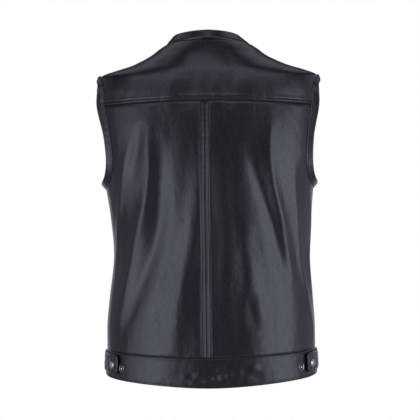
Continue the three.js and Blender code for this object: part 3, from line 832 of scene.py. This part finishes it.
class VEST_OT_snaps(bpy.types.Operator):
    """Make the snap caps of the front and the tabs, and the spare studs beside the tabs."""
    bl_idname = "vest.snaps"
    bl_label = "Snaps"

    def execute(self, context):
        radius = context.scene.vest_sizes.cap_radius / MM
        fronts = [f"front_snap_{k}" for k in range(1, 6)]
        tabs = ["tab_left_snap", "tab_right_snap"]
        spares = ["band_snap_left", "band_snap_right"]
        on_band = BAND_RISE + BAND_LAP_RISE
        on_tab = tab_lift(TAB_SNAP) + TAB_THICK
        pieces = (
            build_snaps("front_caps", fronts, LAP_RISE, CAP_CURVE, radius),
            build_snaps("waistband_cap", ["front_snap_6"], on_band, CAP_CURVE, radius),
            build_snaps("tab_caps", tabs, on_tab, CAP_CURVE, radius),
            build_snaps("spare_studs", spares, BAND_RISE, STUD_CURVE, radius * STUD_RADIUS),
        )
        for piece in pieces:
            dress(piece, "metal")
        return {"FINISHED"}


def build_stitches(name, rows):
    """One mesh of all stitches of a set of rows. Each row gives the angle and level of its path
    and the lift of the leather along it. A stitch is a thin tube with six sides whose middle
    arches out of the leather and whose ends sink into it."""
    sizes = bpy.context.scene.vest_sizes
    pitch, length, thick = sizes.stitch_pitch / MM, sizes.stitch_length / MM, sizes.thread_width / MM
    u = np.linspace(-1, 1, 9)[None, :, None, None]
    turn = np.linspace(0, 2 * np.pi, 7)[:-1][None, None, :, None]
    points, faces, start = [], [], 0
    for angle, level, lift, closed in rows:
        path = skin(angle, level, lift)
        run = arc_length(path)
        number = max(2, int(run[-1] / pitch))
        at = (np.arange(number) + 0.5) * run[-1] / number
        a, b, c = (np.interp(at, run, values) for values in (angle, level, lift * np.ones(len(run))))
        middle, out = skin(a, b, c), body_normal(a, b)
        forward, across = directions(middle, out, closed)
        middle, out, forward, across = (v[:, None, None] for v in (middle, out, forward, across))
        slim = thick / 2 * (1 - 0.55 * u**4)
        arch = thick * 0.5 * (1 - 2.6 * u**4)
        tube = middle + forward * u * length / 2 + out * arch
        tube = tube + slim * (np.cos(turn) * across + np.sin(turn) * out)
        total, steps, sides = tube.shape[:3]
        k, i, j = np.meshgrid(np.arange(total), np.arange(steps - 1), np.arange(sides), indexing="ij")
        here = start + (k * steps + i) * sides
        after = (j + 1) % sides
        quads = np.stack([here + j, here + after, here + sides + after, here + sides + j], -1)
        faces.append(quads.reshape(-1, 4))
        first = start + np.arange(total)[:, None, None] * steps * sides
        faces.append((first + end_faces(sides, 0)).reshape(-1, 4))
        faces.append((first + end_faces(sides, (steps - 1) * sides)[:, ::-1]).reshape(-1, 4))
        points.append(tube.reshape(-1, 3))
        start += total * steps * sides
    points, faces = np.concatenate(points), np.concatenate(faces)
    piece = new_object(name, points, outward(points, faces))
    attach(piece, "root")
    return piece


def row_at_x(x, low, high):
    """Angle and level up the back at a steady distance from the centre seam."""
    level = np.linspace(low, high, 240)
    depth = body(0.0, level)[..., 1]
    angle = np.degrees(np.arctan2(x, depth))
    return angle, level


def level_row(start, end, level, steps=240):
    """Angle and level along one ring level."""
    return np.linspace(start, end, steps), np.full(steps, float(level))


def stitch_rows():
    """The rows of stitches on the leather, by set."""
    back = []
    for x in SEAM_ROWS:
        angle, level = row_at_x(x, BAND_SEAM + 0.05, YOKE_SEAM - 0.05)
        back.append((angle, level, centre_seam(angle, level, 1) + 0.1, False))
    edge = ARM_YOKE[0, 0]
    angle = np.linspace(-edge + 4, edge - 4, 300)
    height = body(angle, float(YOKE_SEAM))[..., 2] + YOKE_ROW
    level = level_at(angle, height)
    yoke = [(angle, level, YOKE_RISE - 0.7 + 0 * angle, False)]
    band = []
    for start, end in ((-90, 90), (90, 178), (-90, -178)):
        for drop in BAND_ROWS:
            angle, level = level_row(start + 1, end - 1, BAND_SEAM - drop / BAND_HEIGHT)
            rise = lapped(body(angle, level), BAND_LAP_RISE) if start > 0 else 0.0
            band.append((angle, level, band_lift(angle, level) + 0.2 + rise, False))
    return {"centre_seam_stitches": back, "yoke_stitches": yoke, "waistband_stitches": band}


class VEST_OT_stitches(bpy.types.Operator):
    """Make the rows of stitches along the seams and edges."""
    bl_idname = "vest.stitches"
    bl_label = "Stitches"

    def execute(self, context):
        for name, rows in stitch_rows().items():
            dress(build_stitches(name, rows), "thread")
        return {"FINISHED"}


class VestSizes(bpy.types.PropertyGroup):
    """Sizes of the vest's details."""
    stitch_pitch: bpy.props.FloatProperty(
        name="Stitch pitch", description="From one stitch to the next",
        default=0.0042, min=0.002, unit="LENGTH",
    )
    stitch_length: bpy.props.FloatProperty(
        name="Stitch length", description="What shows of each stitch",
        default=0.0033, min=0.001, unit="LENGTH",
    )
    thread_width: bpy.props.FloatProperty(
        name="Thread width", description="Thickness of the thread",
        default=0.0006, min=0.0002, unit="LENGTH",
    )
    cap_radius: bpy.props.FloatProperty(
        name="Cap radius", description="Radius of a snap's cap",
        default=0.007, min=0.003, unit="LENGTH",
    )
    grain_size: bpy.props.FloatProperty(
        name="Grain size", description="Width of one pebble of the grain",
        default=0.0013, min=0.0003, unit="LENGTH",
    )


class VestColours(bpy.types.PropertyGroup):
    """Colours of the vest's materials."""
    leather: bpy.props.FloatVectorProperty(
        name="Leather", description="The leather's face",
        size=3, subtype="COLOR", default=(0.0045, 0.005, 0.008),
    )
    flesh: bpy.props.FloatVectorProperty(
        name="Inside", description="The inner side of the leather",
        size=3, subtype="COLOR", default=(0.022, 0.02, 0.019),
    )
    thread: bpy.props.FloatVectorProperty(
        name="Thread", description="The sewing thread",
        size=3, subtype="COLOR", default=(0.016, 0.016, 0.019),
    )
    metal: bpy.props.FloatVectorProperty(
        name="Metal", description="The snaps' nickel",
        size=3, subtype="COLOR", default=(0.45, 0.45, 0.45),
    )


def add_node(tree, kind, **values):
    """A node with some of its sockets or settings set."""
    node = tree.nodes.new(kind)
    for key, value in values.items():
        if key in node.inputs:
            node.inputs[key].default_value = value
        else:
            setattr(node, key, value)
    return node


# Bumps of the leather: each one's depth in metres and how strongly it shows
DRAPE_BUMP = (0.007, 0.4)
SWELL_BUMP = (0.0022, 0.17)
CREASE_BUMP = (0.0006, 0.16)
PEBBLE_BUMP = (0.0003, 0.15)

# How fine the noises are: the warp of the grain, the swells that hang down, the short swells and
# the creases. The hanging swells are drawn out downward by the last value of their stretch.
WARP_SCALE = 60.0
DRAPE_SCALE = 22.0
SWELL_SCALE = 75.0
CREASE_SCALE = 210.0
DRAPE_STRETCH = (1.0, 1.0, 0.45)

# How far the warp moves the grain, in metres, and the roughness of each material: the leather
# has a span of it and a thin coat
GRAIN_WARP = 0.004
LEATHER_ROUGHNESS = (0.33, 0.44)
COAT_WEIGHT = 0.12
COAT_ROUGHNESS = 0.2
METAL_ROUGHNESS = 0.16
THREAD_ROUGHNESS = 0.5
FLESH_ROUGHNESS = 0.85


def leather_group():
    """A shared effect: the leather's surface on object coordinates. Long swells that hang down,
    short swells, creases and the pebbles of the grain are laid on each other as bumps. It puts
    out their normal, and a roughness that varies with the creases."""
    group = bpy.data.node_groups.new("Leather Grain", "ShaderNodeTree")
    for name, kind in (("Normal", "NodeSocketVector"), ("Roughness", "NodeSocketFloat")):
        group.interface.new_socket(name=name, in_out="OUTPUT", socket_type=kind)
    place = add_node(group, "ShaderNodeTexCoord")
    warp = add_node(group, "ShaderNodeTexNoise", Scale=WARP_SCALE, Detail=2.0)
    group.links.new(place.outputs["Object"], warp.inputs["Vector"])
    shift = add_node(group, "ShaderNodeVectorMath", operation="MULTIPLY_ADD")
    shift.inputs[1].default_value = (GRAIN_WARP, GRAIN_WARP, GRAIN_WARP)
    group.links.new(warp.outputs["Color"], shift.inputs[0])
    group.links.new(place.outputs["Object"], shift.inputs[2])
    hang = add_node(group, "ShaderNodeVectorMath", operation="MULTIPLY")
    hang.inputs[1].default_value = DRAPE_STRETCH
    group.links.new(place.outputs["Object"], hang.inputs[0])
    drape = add_node(group, "ShaderNodeTexNoise", Scale=DRAPE_SCALE, Detail=3.0, Roughness=0.5)
    group.links.new(hang.outputs["Vector"], drape.inputs["Vector"])
    swells = add_node(group, "ShaderNodeTexNoise", Scale=SWELL_SCALE, Detail=3.0, Roughness=0.5)
    group.links.new(place.outputs["Object"], swells.inputs["Vector"])
    creases = add_node(group, "ShaderNodeTexNoise", Scale=CREASE_SCALE, Detail=4.0, Roughness=0.6)
    group.links.new(shift.outputs["Vector"], creases.inputs["Vector"])
    grain_size = bpy.context.scene.vest_sizes.grain_size
    pebbles = add_node(group, "ShaderNodeTexVoronoi", feature="SMOOTH_F1", Scale=1 / grain_size)
    group.links.new(shift.outputs["Vector"], pebbles.inputs["Vector"])
    normal = None
    for source, output, (depth, strength) in (
        (drape, "Fac", DRAPE_BUMP), (swells, "Fac", SWELL_BUMP), (creases, "Fac", CREASE_BUMP),
        (pebbles, "Distance", PEBBLE_BUMP),
    ):
        bump = add_node(group, "ShaderNodeBump", Strength=strength, Distance=depth)
        group.links.new(source.outputs[output], bump.inputs["Height"])
        if normal is not None:
            group.links.new(normal.outputs["Normal"], bump.inputs["Normal"])
        normal = bump
    rough = add_node(group, "ShaderNodeMapRange")
    rough.inputs["From Min"].default_value = 0.3
    rough.inputs["From Max"].default_value = 0.7
    rough.inputs["To Min"].default_value = LEATHER_ROUGHNESS[0]
    rough.inputs["To Max"].default_value = LEATHER_ROUGHNESS[1]
    group.links.new(creases.outputs["Fac"], rough.inputs["Value"])
    out = add_node(group, "NodeGroupOutput")
    group.links.new(normal.outputs["Normal"], out.inputs["Normal"])
    group.links.new(rough.outputs["Result"], out.inputs["Roughness"])
    return group


def shader(name, colour, **values):
    """A material with one Principled shader and the values given on its own sockets."""
    material = bpy.data.materials.new(f"vest {name}")
    material.use_nodes = True
    principled = material.node_tree.nodes["Principled BSDF"]
    principled.inputs["Base Color"].default_value = (*colour, 1.0)
    for key, value in values.items():
        principled.inputs[key.replace("_", " ")].default_value = value
    material.diffuse_color = (*colour, 1.0)
    return material, principled


def make_material(kind):
    """One of the vest's materials, by the name the pieces ask for."""
    colours = bpy.context.scene.vest_colours
    if kind == "metal":
        return shader(kind, colours.metal, Metallic=1.0, Roughness=METAL_ROUGHNESS)[0]
    if kind == "thread":
        return shader(kind, colours.thread, Roughness=THREAD_ROUGHNESS)[0]
    if kind == "flesh":
        return shader(kind, colours.flesh, Roughness=FLESH_ROUGHNESS)[0]
    material, principled = shader(
        kind, colours.leather, IOR=1.5, Coat_Weight=COAT_WEIGHT, Coat_Roughness=COAT_ROUGHNESS,
    )
    tree = material.node_tree
    grain = bpy.data.node_groups.get("Leather Grain") or leather_group()
    effect = add_node(tree, "ShaderNodeGroup", node_tree=grain)
    tree.links.new(effect.outputs["Normal"], principled.inputs["Normal"])
    tree.links.new(effect.outputs["Roughness"], principled.inputs["Roughness"])
    return material


def dress(piece, *kinds):
    """Gives a piece its materials, in the order of its faces' material numbers."""
    for kind in kinds:
        piece.data.materials.append(bpy.data.materials.get(f"vest {kind}") or make_material(kind))


# The photograph's viewing angle: the camera's distance and height in millimetres, its lens, its
# roll in degrees and the width of its sensor
CAMERA_DISTANCE = 1925.0
CAMERA_HEIGHT = -328.8
CAMERA_LENS = 82.2
CAMERA_ROLL = 0.55
SENSOR_WIDTH = 36.0

# The soft boxes, in metres and watts, and the place that they face
LIGHT_COLUMNS = ("name", "place", "target", "width", "height", "power")
LIGHT_COLOUR = (0.92, 0.96, 1.12)
MIDDLE = (0, 0, -0.33)
LIGHTS = (
    ("left box", (1.27, 1.84, -0.55), MIDDLE, 0.95, 2.0, 16),
    ("left outer box", (1.9, 1.13, -0.55), MIDDLE, 1.0, 2.0, 9),
    ("right box", (-1.8, 1.35, -0.55), MIDDLE, 1.6, 2.0, 27),
    ("left surround", (2.1, -0.5, -0.2), MIDDLE, 1.6, 2.4, 4.5),
    ("right surround", (-2.1, -0.5, -0.2), MIDDLE, 1.6, 2.4, 7),
    ("top box", (0, 1.5, 1.25), MIDDLE, 3.4, 0.9, 14),
    ("overhead box", (0, -0.7, 1.7), (0, 0, -0.1), 3.2, 1.6, 10),
    ("left front box", (1.1, -2.0, -0.3), MIDDLE, 1.4, 2.0, 7),
    ("right front box", (-1.1, -2.0, -0.3), MIDDLE, 1.4, 2.0, 7),
    ("left inner box", (0.72, 1.97, -0.55), MIDDLE, 0.5, 0.8, 0.8),
    ("right inner box", (-0.74, 1.97, -0.55), MIDDLE, 0.48, 0.8, 0.9),
)

# What the white surround and the pale floor give to all rays but the camera's, and the floor's
# size and height in millimetres
SURROUND_COLOUR = (0.9, 0.94, 1.0, 1.0)
SURROUND_STRENGTH = 0.03
FLOOR_COLOUR = (0.6, 0.6, 0.6, 1.0)
FLOOR_ROUGHNESS = 0.8
FLOOR_RADIUS = 2300.0
FLOOR_HEIGHT = -1300.0
FLOOR_CORNERS = 96


def add_light(row):
    """A soft box that lights the vest but isn't seen by the camera."""
    light = dict(zip(LIGHT_COLUMNS, row))
    data = bpy.data.lights.new(light["name"], "AREA")
    data.shape = "RECTANGLE"
    data.size, data.size_y, data.energy = light["width"], light["height"], light["power"]
    data.color = LIGHT_COLOUR
    lamp = bpy.data.objects.new(light["name"], data)
    bpy.context.scene.collection.objects.link(lamp)
    lamp.location = light["place"]
    aim = Vector(light["target"]) - Vector(light["place"])
    lamp.rotation_euler = aim.to_track_quat("-Z", "Y").to_euler()
    lamp.visible_camera = False


def seen_as_white(tree, kind, lit, output):
    """Shows plain white to the camera, and the lit shader to all other rays."""
    white = add_node(tree, kind, Color=(1.0, 1.0, 1.0, 1.0), Strength=1.0)
    path = add_node(tree, "ShaderNodeLightPath")
    mix = add_node(tree, "ShaderNodeMixShader")
    tree.links.new(path.outputs["Is Camera Ray"], mix.inputs[0])
    tree.links.new(lit.outputs[0], mix.inputs[1])
    tree.links.new(white.outputs[0], mix.inputs[2])
    tree.links.new(mix.outputs[0], tree.nodes[output].inputs["Surface"])


def floor_material():
    """A matt pale floor that the camera sees as plain white, like the surround."""
    material = bpy.data.materials.new("pale floor")
    material.use_nodes = True
    tree = material.node_tree
    matt = tree.nodes["Principled BSDF"]
    matt.inputs["Base Color"].default_value = FLOOR_COLOUR
    matt.inputs["Roughness"].default_value = FLOOR_ROUGHNESS
    seen_as_white(tree, "ShaderNodeEmission", matt, "Material Output")
    return material


class VEST_OT_stage(bpy.types.Operator):
    """Make the camera, the soft boxes, the white surround and the pale floor."""
    bl_idname = "vest.stage"
    bl_label = "Stage"

    def execute(self, context):
        scene = context.scene
        data = bpy.data.cameras.new("Camera")
        data.lens, data.sensor_width = CAMERA_LENS, SENSOR_WIDTH
        camera = bpy.data.objects.new("Camera", data)
        scene.collection.objects.link(camera)
        camera.location = (0, CAMERA_DISTANCE * MM, CAMERA_HEIGHT * MM)
        camera.rotation_euler = (math.pi / 2, math.radians(CAMERA_ROLL), math.pi)
        scene.camera = camera
        for row in LIGHTS:
            add_light(row)
        scene.view_settings.view_transform = "Standard"
        world = bpy.data.worlds.new("White surround")
        scene.world = world
        world.use_nodes = True
        lit = world.node_tree.nodes["Background"]
        lit.inputs["Color"].default_value = SURROUND_COLOUR
        lit.inputs["Strength"].default_value = SURROUND_STRENGTH
        seen_as_white(world.node_tree, "ShaderNodeBackground", lit, "World Output")
        turn = np.linspace(0, 2 * np.pi, FLOOR_CORNERS + 1)[:-1]
        x, y = FLOOR_RADIUS * np.cos(turn), FLOOR_RADIUS * np.sin(turn)
        rim = np.stack([x, y, np.full(FLOOR_CORNERS, FLOOR_HEIGHT)], -1)
        floor = new_object("floor", rim, np.arange(FLOOR_CORNERS)[None])
        floor.data.materials.append(floor_material())
        return {"FINISHED"}


PIECES = (
    VEST_OT_back_panels, VEST_OT_yoke, VEST_OT_fronts, VEST_OT_waistband, VEST_OT_bindings,
    VEST_OT_collar, VEST_OT_tabs, VEST_OT_snaps, VEST_OT_stitches, VEST_OT_stage,
)


class VEST_PT_panel(bpy.types.Panel):
    """Lists the vest's operators, sizes and colours in the sidebar."""
    bl_label = "Leather Vest"
    bl_idname = "VEST_PT_panel"
    bl_space_type = "VIEW_3D"
    bl_region_type = "UI"
    bl_category = "Vest"

    def draw(self, context):
        for group in (context.scene.vest_sizes, context.scene.vest_colours):
            for name in group.bl_rna.properties.keys():
                if name not in ("rna_type", "name"):
                    self.layout.prop(group, name)
        for operator in PIECES:
            self.layout.operator(operator.bl_idname)


def register():
    """Registers the sizes, the colours, the operators and the panel."""
    for kind in (VestSizes, VestColours, *PIECES, VEST_PT_panel):
        bpy.utils.register_class(kind)
    bpy.types.Scene.vest_sizes = bpy.props.PointerProperty(type=VestSizes)
    bpy.types.Scene.vest_colours = bpy.props.PointerProperty(type=VestColours)


def unregister():
    """Takes everything that register added away again."""
    del bpy.types.Scene.vest_colours
    del bpy.types.Scene.vest_sizes
    for kind in reversed((VestSizes, VestColours, *PIECES, VEST_PT_panel)):
        bpy.utils.unregister_class(kind)


def main():
    """Makes every piece and the stage."""
    register()
    bpy.ops.vest.back_panels()
    bpy.ops.vest.yoke()
    bpy.ops.vest.fronts()
    bpy.ops.vest.waistband()
    bpy.ops.vest.bindings()
    bpy.ops.vest.collar()
    bpy.ops.vest.tabs()
    bpy.ops.vest.snaps()
    bpy.ops.vest.stitches()
    bpy.ops.vest.stage()


if __name__ == "__main__":
    main()
